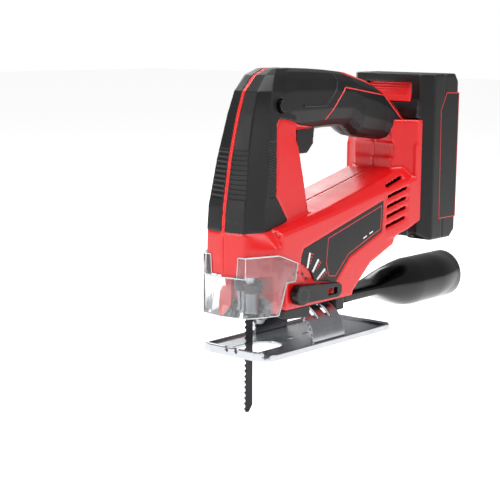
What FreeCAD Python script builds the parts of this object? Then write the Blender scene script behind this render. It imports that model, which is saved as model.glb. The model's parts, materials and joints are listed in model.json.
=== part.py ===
"""Cordless jigsaw, built piece by piece in millimetres.

+X runs to the battery, -X is the cutting direction, -Y is the tool's left side and +Z is up.
The origin lies on the blade line at the underside of the sole plate.
"""
import FreeCAD, Part
import math
import os

V = FreeCAD.Vector

# ---- driving dimensions (mm) ----------------------------------------------------------------
WALL = 3.0                 # moulded housing wall
GRIP = 1.4                 # soft overmould thickness
BODY_HALF = 31.0           # half width of the body at its flat sides
SHOULDER_HALF = 24.0       # half width at the top of the body's bevel
REAR_HALF = 34.0           # half width of the battery foot
REAR_X = 166.0             # rear face of the housing
GEARBOX_Z = 33.5           # underside of the housing at the gearbox
NOSE_Z = 59.0              # lower edge of the front of the nose
RECESS_Z = 70.6            # roof of the recess the blade clamp works in
HANDLE_HALF = 17.0         # half width of the handle
RUN = 0.3                  # clearance between bodies that move past each other
FIT = 0.05                 # radial clearance of a running fit
SEAT = 0.1                 # clearance of a piece that sits in a pocket

GEAR_X, GEAR_Z = 36.0, 71.0
GEAR_R = 25.0              # outer radius of the drive gear
AXLE_R = 4.0
GEAR_TEETH, PINION_TEETH = 40, 10
MESH_R = 22.0              # where the pinion meets the gear
PINION_R = MESH_R * PINION_TEETH / GEAR_TEETH
TOOTH_HALF = 1.0           # tooth height above and below the pitch line
GEAR_TOOTH_Y = PINION_R - TOOTH_HALF
CRANK_R = 10.0             # half the stroke
CRANK_PIN_R = 3.0
YOKE_Y0, YOKE_Y1 = -3.2, 2.6
MOTOR_TILT = 10.0          # degrees, nose down
MOTOR_R = 17.8
MOTOR_START, MOTOR_LEN = 36.0, 46.0
SHAFT_R = 2.0
FAN_R = 15.5

ROD_R = 4.0                # plunger rod
ROD_BOTTOM, ROD_TOP = 33.0, 113.5
LOW_BUSH_Z, BUSH_LEN = 71.5, 3.9
BUSH_R = ROD_R + 1.2
TOP_BUSH_Z, TOP_BUSH_LEN = 105.0, 7.0
CLAMP_R, COLLAR_R = 6.2, 8.6
COLLAR_Z, COLLAR_LEN = 44.5, 5.5

BLADE_W, BLADE_T = 8.0, 1.3
BLADE_TIP_Z, BLADE_TOP_Z = -44.0, 45.0
TOOTH_PITCH, TOOTH_TOP_Z, TOOTH_DEPTH = 4.0, 31.0, 1.8
BLADE_FRONT = -5.0         # tooth tips

SOLE_X0, SOLE_X1, SOLE_HALF = -20.0, 133.0, 32.0
SOLE_T, SOLE_RIM, SOLE_LIP = 2.5, 4.5, 6.5
SLOT_X0, SLOT_X1, SLOT_HALF = -14.5, 30.0, 12.0
TILT_R, TILT_T = 29.0, 2.5
TILT_Z = 2.0               # height of the tilt axis
BRACKET_X0, BRACKET_X1 = 38.0, 76.0
BASE_SCREW_X = (49.0, 63.0)
BASE_SCREW_R = 2.4
BOSS_HALF = 9.0            # half width of the foot seat's boss
BOSS_X1 = 74.5
SEAT_SIDE = 19.0           # half width of the seat over the bracket
BASE_SHIFT = 6.0           # how far the sole can be moved back

TUBE_Z, TUBE_R, TUBE_WALL = 24.6, 19.5, 2.0
TUBE_X0, TUBE_CYL_X, TUBE_X1 = 84.5, 196.0, 252.0
DUCT_Z, DUCT_HALF_Y, DUCT_HALF_Z = 26.25, 12.0, 4.75
SOCKET_X0, SOCKET_X1 = 83.0, 93.0

TRIGGER_X0, TRIGGER_X1, TRIGGER_HALF = 43.0, 63.0, 7.0
TRIGGER_TRAVEL = 6.0
FLOOR_Z = 160.8            # inside floor of the handle at the trigger
LOCK_X, LOCK_Z, LOCK_R, LOCK_TRAVEL = 13.0, 176.0, 4.6, 3.0
LEVER_X, LEVER_Z, LEVER_END_X = 14.0, 44.0, 57.0
ROLLER_X, ROLLER_Z, ROLLER_R = 10.3, 25.0, 6.0

BATT_X0, BATT_X1, BATT_HALF = 166.3, 216.0, 38.0
BATT_Z0, BATT_Z1, BATT_WALL = 65.0, 195.0, 2.4
RAIL_Z0, RAIL_Z1, RAIL_HALF = 92.0, 150.0, 20.0
SCREW_R, SCREW_HEAD_R = 1.8, 3.2


# ---- small helpers --------------------------------------------------------------------------
def box(x0, x1, y0, y1, z0, z1):
    return Part.makeBox(x1 - x0, y1 - y0, z1 - z0, V(x0, y0, z0))


def rod(start, direction, radius, length):
    return Part.makeCylinder(radius, length, V(*start), V(*direction))


def tube(start, direction, outer, inner, length):
    return rod(start, direction, outer, length).cut(rod(start, direction, inner, length))


def face(points):
    return Part.Face(Part.makePolygon(list(points) + [points[0]]))


def prism_y(outline, y0, y1):
    """Outline of (x, z) points pushed from y0 to y1."""
    return face([V(x, y0, z) for x, z in outline]).extrude(V(0, y1 - y0, 0))


def prism_z(outline, z0, z1):
    """Outline of (x, y) points pushed from z0 to z1."""
    return face([V(x, y, z0) for x, y in outline]).extrude(V(0, 0, z1 - z0))


def loft(sections, ruled=True):
    wires = [Part.makePolygon(list(points) + [points[0]]) for points in sections]
    return Part.makeLoft(wires, True, ruled)


def union(shapes):
    shapes = list(shapes)
    return shapes[0].fuse(shapes[1:]).removeSplitter() if len(shapes) > 1 else shapes[0]


def cut(shape, tools):
    return shape.cut(list(tools))


def along_motor(shape):
    """Move a shape built along +X from the gear centre onto the tilted motor axis."""
    placed = shape.copy()
    placed.rotate(V(0, 0, 0), V(0, 1, 0), -MOTOR_TILT)
    placed.translate(V(GEAR_X, 0, GEAR_Z))
    return placed


def half(shape, side):
    y0, y1 = (-60, 0) if side < 0 else (0, 60)
    return shape.common(box(-60, 260, y0, y1, 0, 230))


def save(name, shape):
    solids = shape.Solids
    whole = solids[0] if len(solids) == 1 else Part.makeCompound(solids)
    whole.exportStep("parts/" + name + ".step")
    print(f"{name:20s} solids {len(solids)} volume {whole.Volume / 1000:8.2f} cm3 "
          f"valid {all(s.isValid() for s in solids)}")


# ---- outer form of the housing, drawn inwards by an inset -------------------------------------
def mirrored(points):
    """Close a half outline of (x, y) points, front to rear, with its mirror image in y."""
    return list(points) + [(x, -y) for x, y in reversed(points) if y > 0]


def nose_form(inset):
    """Lower front block: a blunt wedge in plan that narrows upwards into the column."""
    t = inset
    outline = mirrored([(-29 + t, 0), (-26 + t, 17.5 - t), (-7 + t, BODY_HALF - 1 - t),
                        (0, BODY_HALF - t), (60, BODY_HALF - t), (60, 0)])
    upper = mirrored([(-29.4 + t, 0), (-26 + t, 17.3 - t), (-11 + t, 22 - t),
                      (0, SHOULDER_HALF - t), (60, SHOULDER_HALF - t), (60, 0)])
    low = GEARBOX_Z + t
    block = prism_z(outline, low, 79 - t * 0.4)
    shoulder = loft([[V(x, y, 79 - t * 0.4) for x, y in outline], [V(x, y, 90 - t * 0.4) for x, y in upper]])
    return block.fuse(shoulder)


def barrel_form(inset):
    """Body behind the nose: stations of (x, underside, side top, shoulder top)."""
    t = inset
    stations = [(-2, 33.5, 88, 91.0), (25, 33.5, 92, 95.0), (56, 33.5, 97, 100.5),
                (100, 33.5, 105, 110.5), (REAR_X - t, 33.5, 117, 126.0)]
    sections = []
    for x, low, side, top in stations:
        ring = [(0, low + t), (BODY_HALF - t, low + t), (BODY_HALF - t, side - t * 0.8),
                (SHOULDER_HALF - t * 0.6, top - t), (0, top + 1.5 - t)]
        ring += [(-y, z) for y, z in reversed(ring) if y > 0]
        sections.append([V(x, y, z) for y, z in ring])
    under = [(79 - t, 10), (82 - t * 0.6, 36.7 + t), (104 - t * 0.6, 55 + t), (133.5 - t * 0.5, 66 + t),
             (137 - t * 0.4, 73 + t), (152, 77 + t), (175, 84 + t * 1.1), (175, 10)]
    return loft(sections).cut(prism_y(under, -60, 60))


def column_form(inset):
    """Faceted front post: stations of height and its front, crease and rear points."""
    t = inset
    stations = [(70, -29.3, -26.0, 17.5, -10, 23.0, 42, 20, 47),
                (92, -29.5, -26.2, 17.4, -11, 22.3, 42, 20, 47),
                (107, -28.2, -25.4, 17.0, -9.8, 21.3, 40.5, 19, 45),
                (140, -22.7, -19.5, 14.3, -2.4, 19.6, 34, 17.5, 38.5),
                (156, -18.6, -15.2, 13.0, -0.9, 18.8, 30.5, 16.5, 35),
                (170, -14.8, -11.4, 12.0, 0.6, 18.0, 30.5, 16, 35),
                (186 - t, -8.9, -5.5, 10.8, 2.6, 17.3, 30.5, 15, 35),
                (197 - t, 2.5, 5.0, 9.0, 9, 13.8, 30.5, 11, 33),
                (201.5 - t, 14, 15, 6.0, 17, 9.0, 30.5, 7, 32)]
    sections = []
    for z, front, x1, y1, x2, y2, x3, y3, rear in stations:
        outline = mirrored([(front + t, 0), (x1 + t, y1 - t * 0.8), (x2 + t * 0.6, y2 - t),
                            (x3 - t * 0.5, y3 - t), (rear - t, 0)])
        sections.append([V(x, y, z) for x, y in outline])
    return loft(sections)


def oval(x, low, high, half_width, inset, bow=0.72):
    """Rounded handle section in the YZ plane, sixteen points."""
    mid, tall, wide = (low + high) / 2, (high - low) / 2 - inset, half_width - inset
    ring = []
    for step in range(16):
        angle = 2 * math.pi * (step + 0.5) / 16
        c, s = math.cos(angle), math.sin(angle)
        ring.append(V(x, wide * math.copysign(abs(c) ** bow, c), mid + tall * math.copysign(abs(s) ** bow, s)))
    return ring


def handle_form(inset):
    """Top handle: stations of (x, underside, top, half width)."""
    t = inset
    stations = [(6, 156, 194.5, 15.5), (14, 155.6, 200.0, 16.6), (30, 155.5, 202, 17), (56, 156, 201, 17),
                (75, 157, 199.8, 17), (100, 157, 197.5, 17), (112, 149, 194.5, 17), (126, 146.5, 191, 17),
                (141, 145.5, 184, 17.5), (152, 143, 176, 19), (161 - t, 140, 165, 20.5)]
    return loft([oval(x, low, high, width, t) for x, low, high, width in stations])


def rear_form(inset):
    """Battery foot: the wide block the battery slides on, with bevelled front corners."""
    t = inset
    rear = REAR_X - t
    upper = mirrored([(147.5 + t, 0), (147.5 + t, 17 - t * 0.4), (154 + t, SHOULDER_HALF - t * 0.4),
                      (160 + t * 0.8, REAR_HALF - t), (rear, REAR_HALF - t), (rear, 0)])
    lower = mirrored([(120 + t, 0), (120 + t, BODY_HALF - 0.2 - t), (150, REAR_HALF - t),
                      (rear, REAR_HALF - t), (rear, 0)])
    slope = [(100, 60), (100, 104), (118, 107), (158, 116), (158, 140), (175, 140), (175, 60)]
    under = [(100, 60), (100, 70 + t), (135, 72.5 + t), (152, 77 + t), (175, 84.5 + t), (175, 60)]
    block = prism_z(lower, 62, 150).common(prism_y(slope, -60, 60)).fuse(prism_z(upper, 100, 160 - t))
    return block.cut(prism_y(under, -60, 60))


def outer_form(inset):
    """Whole outer form of the housing, the finger opening left free between its members."""
    return union([nose_form(inset), barrel_form(inset), column_form(inset),
                  handle_form(inset), rear_form(inset)])


def front_recess(wall=0.0):
    """Open space round the plunger and clamp under the nose, or its wall on the inside."""
    w, roof = wall, RECESS_Z + wall
    side = [(-40, 20), (-40, NOSE_Z + w), (-8 + w, NOSE_Z + w), (-8 + w, roof - 1), (3 + w, roof - 1), (3 + w, 15)]
    middle = [(-40, 20), (-40, NOSE_Z + w), (-14 - w, NOSE_Z + w), (-14 - w, roof), (9.5 + w, roof), (9.5 + w, 15)]
    return prism_y(side, 17.5 - w, 60).fuse([prism_y(side, -60, -17.5 + w), prism_y(middle, -18 - w, 18 + w)])


# ---- housing shells and grips -----------------------------------------------------------------
def grip_zone():
    """Black overmoulded regions seen from the side: front wedge, front pad and rear grip."""
    wedge = [(-60, 89), (-9, 89), (17, 95), (4.7, 113), (7.5, 163), (10.4, 167), (24, 165.2), (38, 161.2),
             (58, 158.5), (66, 150), (76, 140), (151, 140), (158, 151), (159, 160),
             (145.2, 178.4), (130.3, 186.2), (112.8, 191.2), (96, 195), (90, 215), (-60, 215)]
    return prism_y(wedge, -60, 60)


def grip_skin():
    """Overmould: the outer layer of the form inside the grip zone, off the red centre stripe."""
    handle_like = union([column_form(0), handle_form(0)])
    core = union([column_form(GRIP), handle_form(GRIP)])
    body = union([nose_form(0), barrel_form(0), rear_form(0)])
    skin = handle_like.cut([core, body]).common(grip_zone())
    stripe = box(-60, 48, -1.5, 1.5, 60, 215)
    return cut(skin, [stripe, finger_gap(), trigger_slot(), lock_hole()])


def finger_gap():
    """Space under the handle where the fingers go."""
    outline = [(46, 108), (149, 131), (149, 143), (126, 145), (112, 147.5), (104, 155), (75, 155.4),
               (30, 153), (36.5, 136), (40.5, 120)]
    return prism_y(outline, -60, 60)


def trigger_slot():
    return box(TRIGGER_X0 - RUN, TRIGGER_X1 + RUN, -TRIGGER_HALF - RUN, TRIGGER_HALF + RUN, 150, 166)


def lock_hole():
    return rod((LOCK_X, -40, LOCK_Z), (0, 1, 0), LOCK_R + RUN, 34)


def vent_slots():
    """Five inclined cooling slots on each side, level with the fan."""
    slots = []
    for row in range(5):
        x, z = 136.8 - 0.5 * row, 113.6 - 7.6 * row
        slot = box(-12.5, 12.5, -60, 60, -1.15, 1.15)
        slot.rotate(V(0, 0, 0), V(0, 1, 0), -14.5)
        slot.translate(V(x, 0, z))
        slots.append(slot)
    return slots


LABEL = [(20.5, 71), (23, 75.5), (119, 101), (118, 78), (77, 63.4), (60, 47), (24, 52.5), (18.7, 60.5)]
LABEL_DEPTH = 1.2
HOUSING_SCREWS = [(-16, 101), (0, 160), (96, 176), (56, 94.5), (100, 58), (153.3, 154.6), (33, 41)]
BOSS_R = 4.2


def label_recess(side):
    y = side * BODY_HALF
    return prism_y(LABEL, y - LABEL_DEPTH, y + LABEL_DEPTH)


def label_plate(side):
    """Name plate, left bare: sits in its recess flush with the side."""
    inner, outer = (BODY_HALF - LABEL_DEPTH) * side, (BODY_HALF - 0.1) * side
    disc = rod((LEVER_X, -60, LEVER_Z), (0, 1, 0), 22, 120)
    return prism_y(LABEL, min(inner, outer), max(inner, outer)).cut(disc)


def saddle_ribs():
    """Walls across the shell that carry the motor, and the seats of the gear case."""
    ribs = []
    for s in (MOTOR_START + 4, MOTOR_START + MOTOR_LEN - 5):
        x = GEAR_X + s * math.cos(math.radians(MOTOR_TILT))
        ribs.append(box(x, x + 2.5, -40, 40, 30, 108))
    motor_room = along_motor(rod((MOTOR_START - 3, 0, 0), (1, 0, 0), MOTOR_R + SEAT, MOTOR_LEN + 12))
    return union(ribs).cut(motor_room)


def screw_bosses(side):
    """Bosses for the housing screws: through holes on the right, blind holes on the left."""
    bosses, holes = [], []
    for x, z in HOUSING_SCREWS:
        bosses.append(rod((x, -40, z), (0, 1, 0), BOSS_R, 80))
        if side > 0:
            holes.append(rod((x, -1, z), (0, 1, 0), SCREW_R + FIT, 60))
            holes.append(rod((x, 9, z), (0, 1, 0), SCREW_HEAD_R + 0.3, 60))
        else:
            holes.append(rod((x, -8, z), (0, 1, 0), SCREW_R, 10))
    return bosses, holes


def switch_seat():
    """Two walls that hold the switch in the handle, and the rib behind the lock button."""
    return [box(36, 38.5, -30, 30, 160, 200), box(77.2, 79.7, -30, 30, 160, 200),
            box(LOCK_X - 5, LOCK_X + 5, -4, 0, LOCK_Z - 6, 205)]


def build_housing():
    outer = outer_form(0).cut([finger_gap(), front_recess()])
    cavity = outer_form(WALL).cut([finger_gap_wall(), front_recess(WALL)])
    bosses, _ = screw_bosses(1)
    case = case_window()
    ribs = union([saddle_ribs()] + bosses + switch_seat()).common(cavity)
    ribs = ribs.cut([gear_case_room(), motor_envelope(), handle_room(), handle_ports(), fork_slot(10)])
    shell = outer.cut(cavity)
    shell = cut(shell, vent_slots() + [trigger_slot(), lock_hole(), lever_hole(), fork_slot(), rail_room(),
                                       label_recess(-1), label_recess(1), grip_solid, case])
    whole = shell.fuse(ribs)
    for name, side in (("left_housing", -1), ("right_housing", 1)):
        _, holes = screw_bosses(side)
        part = half(whole, side).cut(holes)
        part = max(part.Solids, key=lambda solid: solid.Volume)
        save(name, part)
    for name, side in (("left_grip", -1), ("right_grip", 1)):
        _, holes = screw_bosses(side)
        pieces = [s for s in half(grip_solid, side).cut(holes).Solids if s.Volume > 40]
        save(name, Part.makeCompound(pieces))


def finger_gap_wall():
    """The finger gap with a wall's thickness all round, so that the cavity keeps clear of it."""
    outline = [(40, 104), (153, 127), (153, 143), (126, 149), (115, 151), (106, 158.2), (75, 158.6),
               (27, 158.4), (33, 135), (37.3, 120)]
    return prism_y(outline, -60, 60)


def rail_room():
    """Window in the rear wall for the battery interface."""
    return box(REAR_X - 8, REAR_X + 5, -RAIL_HALF, RAIL_HALF, RAIL_Z0, RAIL_Z1)


def lever_hole():
    return rod((LEVER_X, -60, LEVER_Z), (0, 1, 0), 3.5 + FIT, 50)


def fork_slot(rise=0.0):
    """Openings in the floor for the roller fork and for the boss of the foot seat."""
    boss = box(BASE_SCREW_X[0] - 6, BOSS_X1 + SEAT, -BOSS_HALF - SEAT, BOSS_HALF + SEAT, 28, 40 + rise)
    return box(8, 28, -10.2, 10.2, 28, 40).fuse(boss)


def handle_ports():
    """Openings that join the handle's space with the column and the rear block."""
    return box(38.6, 77, -12, 12, 158.7, 198)


def build_screws():
    screws = []
    for x, z in HOUSING_SCREWS:
        screws.append(union([rod((x, -7, z), (0, 1, 0), SCREW_R - FIT, 16),
                             rod((x, 9.1, z), (0, 1, 0), SCREW_HEAD_R, 2.2)]))
    save("housing_screws", Part.makeCompound(screws))


# ---- gear case and drive ------------------------------------------------------------------------
CASE_X0, CASE_X1, CASE_HALF, CASE_Z0, CASE_Z1 = -7.0, 48.0, 15.5, 60.0, 112.4
CASE_PLATE_Y = 13.0


def gear_case_room():
    return box(-10, 60, -24, 24, 50, 112)


def case_window():
    """The gear case shows through the roof of the front recess."""
    g = SEAT
    return union([box(CASE_X0 - g, 8 + g, -9 - g, CASE_HALF + g, RECESS_Z - 1, LOW_BUSH_Z + BUSH_LEN + 0.5 + g),
                  box(CASE_X0 - g, CASE_X1 + g, CASE_PLATE_Y - g, CASE_HALF + g, CASE_Z0 - g, CASE_Z1 + g),
                  rod((0, 0, 40), (0, 0, 1), BUSH_R + 1, 90), wheel_room()])


def wheel_room():
    """Running room of the drive gear, from its teeth to the side plate."""
    y0 = GEAR_TOOTH_Y - RUN
    return rod((GEAR_X, y0, GEAR_Z), (0, 1, 0), GEAR_R + RUN, CASE_PLATE_Y - y0)


def motor_envelope():
    return along_motor(rod((14, 0, 0), (1, 0, 0), MOTOR_R + 1.5, MOTOR_LEN + 44)).fuse(
        along_motor(rod((MOTOR_START + MOTOR_LEN + 3, 0, 0), (1, 0, 0), FAN_R + 3, 16)))


def handle_room():
    return box(38.5, 77.2, -14, 14, 158.7, 197)


def build_gear_case():
    """Die-cast frame: two bush blocks tied by a side plate that carries the gear axle."""
    low_z, top_z = LOW_BUSH_Z - 0.6, TOP_BUSH_Z + TOP_BUSH_LEN + 0.2
    plate = prism_y([(CASE_X0, low_z), (24, low_z), (24, CASE_Z0), (CASE_X1, CASE_Z0), (CASE_X1, 92), (36, 94),
                     (30, top_z), (CASE_X0, top_z)], CASE_PLATE_Y, CASE_HALF)
    low = box(CASE_X0, 8, -9, CASE_PLATE_Y, low_z, LOW_BUSH_Z + BUSH_LEN + 0.5)
    top = box(CASE_X0, 12, -9, CASE_PLATE_Y, TOP_BUSH_Z - 0.2, top_z)
    back = box(CASE_X0, 8, -9, -6.6, low_z, top_z)
    lugs = [box(CASE_X0, -3, CASE_HALF, 21.8, 80, 84), box(CASE_X1 - 4, CASE_X1, CASE_HALF, 27.9, 62, 68)]
    frame = union([plate, low, top, back] + lugs)
    axle = rod((GEAR_X, 0, GEAR_Z), (0, 1, 0), AXLE_R, 40)
    bushes = rod((0, 0, CASE_Z0 - 5), (0, 0, 1), BUSH_R + 0.02, 70)
    save("gear_case", frame.cut([wheel_room(), axle, bushes]))
    save("gear_axle", rod((GEAR_X, GEAR_TOOTH_Y + 0.5, GEAR_Z), (0, 1, 0), AXLE_R,
                          CASE_HALF - GEAR_TOOTH_Y - 0.5))
    for name, z, length in (("lower_bush", LOW_BUSH_Z, BUSH_LEN), ("upper_bush", TOP_BUSH_Z, TOP_BUSH_LEN)):
        save(name, tube((0, 0, z), (0, 0, 1), BUSH_R, ROD_R + FIT, length))


def build_drive_gear():
    """Face gear on a side axle: radial teeth towards the pinion, crank pin towards the yoke."""
    disc_y = PINION_R + TOOTH_HALF + 0.4
    disc = rod((GEAR_X, disc_y, GEAR_Z), (0, 1, 0), GEAR_R, CASE_PLATE_Y - RUN - disc_y)
    teeth = []
    for number in range(GEAR_TEETH):
        tooth = box(MESH_R - 0.8, GEAR_R - 0.2, GEAR_TOOTH_Y, disc_y + 0.5, -0.6, 0.6)
        tooth.rotate(V(0, 0, 0), V(0, 1, 0), 360 / GEAR_TEETH * (number + 0.5) - MOTOR_TILT)
        tooth.translate(V(GEAR_X, 0, GEAR_Z))
        teeth.append(tooth)
    pin = rod((GEAR_X, YOKE_Y1 + RUN, GEAR_Z - CRANK_R), (0, 1, 0), CRANK_PIN_R, disc_y - YOKE_Y1)
    bore = rod((GEAR_X, -5, GEAR_Z), (0, 1, 0), AXLE_R + FIT, 30)
    save("drive_gear", union([disc, pin] + teeth).cut(bore))


def build_motor():
    can_end = MOTOR_START + MOTOR_LEN
    case = tube((MOTOR_START, 0, 0), (1, 0, 0), MOTOR_R, MOTOR_R - 1.6, MOTOR_LEN)
    front = tube((MOTOR_START, 0, 0), (1, 0, 0), MOTOR_R - 1, 5.0 + SEAT, 2)
    collar = tube((MOTOR_START - 5, 0, 0), (1, 0, 0), 6.8, 5.0 + SEAT, 6)
    save("motor_can", along_motor(union([case, front, collar])))
    cap = tube((can_end, 0, 0), (1, 0, 0), MOTOR_R, 5.0 + SEAT, 5)
    save("motor_end_cap", along_motor(cap))
    for name, start in (("front_bearing", MOTOR_START - 4.5), ("rear_bearing", can_end + 0.5)):
        save(name, along_motor(tube((start, 0, 0), (1, 0, 0), 5.0, SHAFT_R + FIT, 4)))
    magnets = []
    for sign in (-1, 1):
        ring = tube((MOTOR_START + 6, 0, 0), (1, 0, 0), MOTOR_R - 1.6 - SEAT, 13.6, MOTOR_LEN - 15)
        magnets.append(along_motor(ring.common(box(0, 200, *sorted((sign * 4, sign * 30)), -30, 30))))
    save("motor_magnets", Part.makeCompound(magnets))
    brushes = [along_motor(box(can_end - 7, can_end - 0.05, *sorted((sign * 7.1, sign * 15)), -2, 2))
               for sign in (-1, 1)]
    save("carbon_brushes", Part.makeCompound(brushes))
    shaft = rod((17, 0, 0), (1, 0, 0), SHAFT_R, can_end + 13 - 17)
    stack = rod((MOTOR_START + 7, 0, 0), (1, 0, 0), 13, MOTOR_LEN - 16.5)
    commutator = rod((can_end - 9, 0, 0), (1, 0, 0), 7.0, 7.5)
    save("armature", along_motor(union([shaft, stack, commutator])))
    hub = tube((can_end + 6, 0, 0), (1, 0, 0), 5, SHAFT_R, 7)
    plate = tube((can_end + 6, 0, 0), (1, 0, 0), FAN_R, SHAFT_R, 1.2)
    blades = []
    for number in range(12):
        blade = box(can_end + 7, can_end + 13, -0.6, 0.6, 4.5, FAN_R)
        blade.rotate(V(0, 0, 0), V(1, 0, 0), 30 * number)
        blades.append(blade)
    save("cooling_fan", along_motor(union([hub, plate] + blades)))
    teeth = []
    for number in range(PINION_TEETH):
        tooth = box(18, 25, -0.6, 0.6, PINION_R - 1.8, PINION_R + TOOTH_HALF)
        tooth.rotate(V(0, 0, 0), V(1, 0, 0), 360 / PINION_TEETH * (number + 0.5))
        teeth.append(tooth)
    save("pinion", along_motor(union([tube((18, 0, 0), (1, 0, 0), PINION_R - 1.3, SHAFT_R, 9)] + teeth)))


def build_plunger():
    """Round rod with a cross slot (yoke) that the crank pin works in, and the blade clamp below."""
    slot_half = CRANK_R + CRANK_PIN_R + 0.4
    yoke_z = GEAR_Z - CRANK_R
    arm_z = LOW_BUSH_Z + BUSH_LEN + 1.2
    yoke = union([box(GEAR_X - slot_half - 4.5, GEAR_X + slot_half + 2, YOKE_Y0, YOKE_Y1, yoke_z - 4.4, yoke_z + 4.4),
                  box(GEAR_X - slot_half - 4.5, GEAR_X - slot_half, YOKE_Y0, YOKE_Y1, yoke_z - 4.4, arm_z + 7),
                  box(-2, GEAR_X - slot_half, YOKE_Y0, YOKE_Y1, arm_z, arm_z + 7)])
    slot = box(GEAR_X - slot_half, GEAR_X + slot_half, -10, 10, yoke_z - 3.2, yoke_z + 3.2)
    blade_slot = box(BLADE_FRONT + BLADE_W - 10.5, 6, -BLADE_T / 2 - FIT, BLADE_T / 2 + FIT, 20, BLADE_TOP_Z + FIT)
    save("plunger", union([rod((0, 0, ROD_BOTTOM), (0, 0, 1), ROD_R, ROD_TOP - ROD_BOTTOM), yoke])
         .cut([slot, blade_slot]))
    sleeve = tube((0, 0, 32.5), (0, 0, 1), CLAMP_R, ROD_R + FIT, 16)
    foot = tube((0, 0, 32.5), (0, 0, 1), CLAMP_R + 0.9, ROD_R + FIT, 1.6)
    save("clamp_body", union([sleeve, foot]).cut(blade_slot))
    collar = tube((0, 0, COLLAR_Z), (0, 0, 1), COLLAR_R, CLAMP_R + FIT, COLLAR_LEN)
    grip = union([box(-1.6, 1.6, COLLAR_R - 1.2, COLLAR_R + 2.2, COLLAR_Z, COLLAR_Z + COLLAR_LEN)])
    save("clamp_collar", union([collar, grip.cut(rod((0, 0, 30), (0, 0, 1), CLAMP_R + FIT, 40))]))
    save("clamp_spring", tube((0, 0, 49.5), (0, 0, 1), 5.6, 4.5, 0.9).fuse(
        tube((0, 0, 48.6), (0, 0, 1), 5.0, 4.05, 1.0)).removeSplitter())


def build_blade():
    """T-shank jigsaw blade with alternately set teeth."""
    back = BLADE_FRONT + BLADE_W
    base = BLADE_FRONT + TOOTH_DEPTH
    outline = [(back, BLADE_TIP_Z + 4.5), (base + 2.5, BLADE_TIP_Z), (base, BLADE_TIP_Z)]
    count = int((TOOTH_TOP_Z - BLADE_TIP_Z) / TOOTH_PITCH)
    for number in range(count):
        z = BLADE_TIP_Z + number * TOOTH_PITCH
        outline += [(base, z + 0.5), (BLADE_FRONT, z + 2.9), (base, z + 3.6)]
    top = BLADE_TIP_Z + count * TOOTH_PITCH
    outline += [(base, top + 1.5), (-3.0, top + 3), (-3.0, BLADE_TOP_Z - 8), (-5.6, BLADE_TOP_Z - 8),
                (-5.6, BLADE_TOP_Z - 4.5), (-3.0, BLADE_TOP_Z - 4.5), (-2.2, BLADE_TOP_Z), (back, BLADE_TOP_Z)]
    save("saw_blade", prism_y(outline, -BLADE_T / 2, BLADE_T / 2))


# ---- orbital action -----------------------------------------------------------------------------
FORK_X, FORK_Z = 21.5, 38.5


def build_orbital():
    """Fork with the guide roller behind the blade, and the lever whose cam sets its swing."""
    cheeks = []
    for sign in (-1, 1):
        y0, y1 = sorted((sign * 2.6, sign * 5.0))
        cheeks.append(prism_y([(7.6, 22.6), (12.6, 22.2), (26, 35), (26, 42), (18, 42), (17.5, 36)], y0, y1))
    bridge = box(18, 26, -5, 5, 35.4, 42)
    pins = [rod((ROLLER_X, -20, ROLLER_Z), (0, 1, 0), 1.52, 40),
            rod((FORK_X, -20, FORK_Z), (0, 1, 0), 2.0 + FIT, 40)]
    save("roller_fork", union(cheeks + [bridge]).cut(pins))
    save("roller_pin", rod((ROLLER_X, -5.0, ROLLER_Z), (0, 1, 0), 1.5, 10))
    groove = box(-50, ROLLER_X - ROLLER_R + 1.0, -0.95, 0.95, 0, 60)
    wheel = tube((ROLLER_X, -2.3, ROLLER_Z), (0, 1, 0), ROLLER_R, 1.5 + FIT, 4.6)
    ring = tube((ROLLER_X, -0.95, ROLLER_Z), (0, 1, 0), ROLLER_R + 1, ROLLER_R - 1.2, 1.9)
    save("guide_roller", wheel.cut([ring, groove]))
    save("fork_pin", rod((FORK_X, -8.9, FORK_Z), (0, 1, 0), 2.0, 17.8))
    boss = rod((LEVER_X, -38, LEVER_Z), (0, 1, 0), 7.2, 38 - BODY_HALF - RUN)
    arm = prism_y([(LEVER_X, LEVER_Z - 6.4), (LEVER_END_X, LEVER_Z - 7.2), (LEVER_END_X + 3.6, LEVER_Z - 4),
                   (LEVER_END_X + 3.6, LEVER_Z + 1), (LEVER_END_X, LEVER_Z + 3.6), (LEVER_X, LEVER_Z + 6.8)],
                  -36.8, -BODY_HALF - 2.1)
    hole = box(44, 55, -60, 0, LEVER_Z - 4.2, LEVER_Z + 0.6)
    shaft = rod((LEVER_X, -BODY_HALF - RUN - 1, LEVER_Z), (0, 1, 0), 3.5, 20)
    cam = rod((LEVER_X, -14, LEVER_Z), (0, 1, 0), 3.5, 2)
    save("orbital_lever", union([boss, arm.cut(hole), shaft, cam]))


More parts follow.
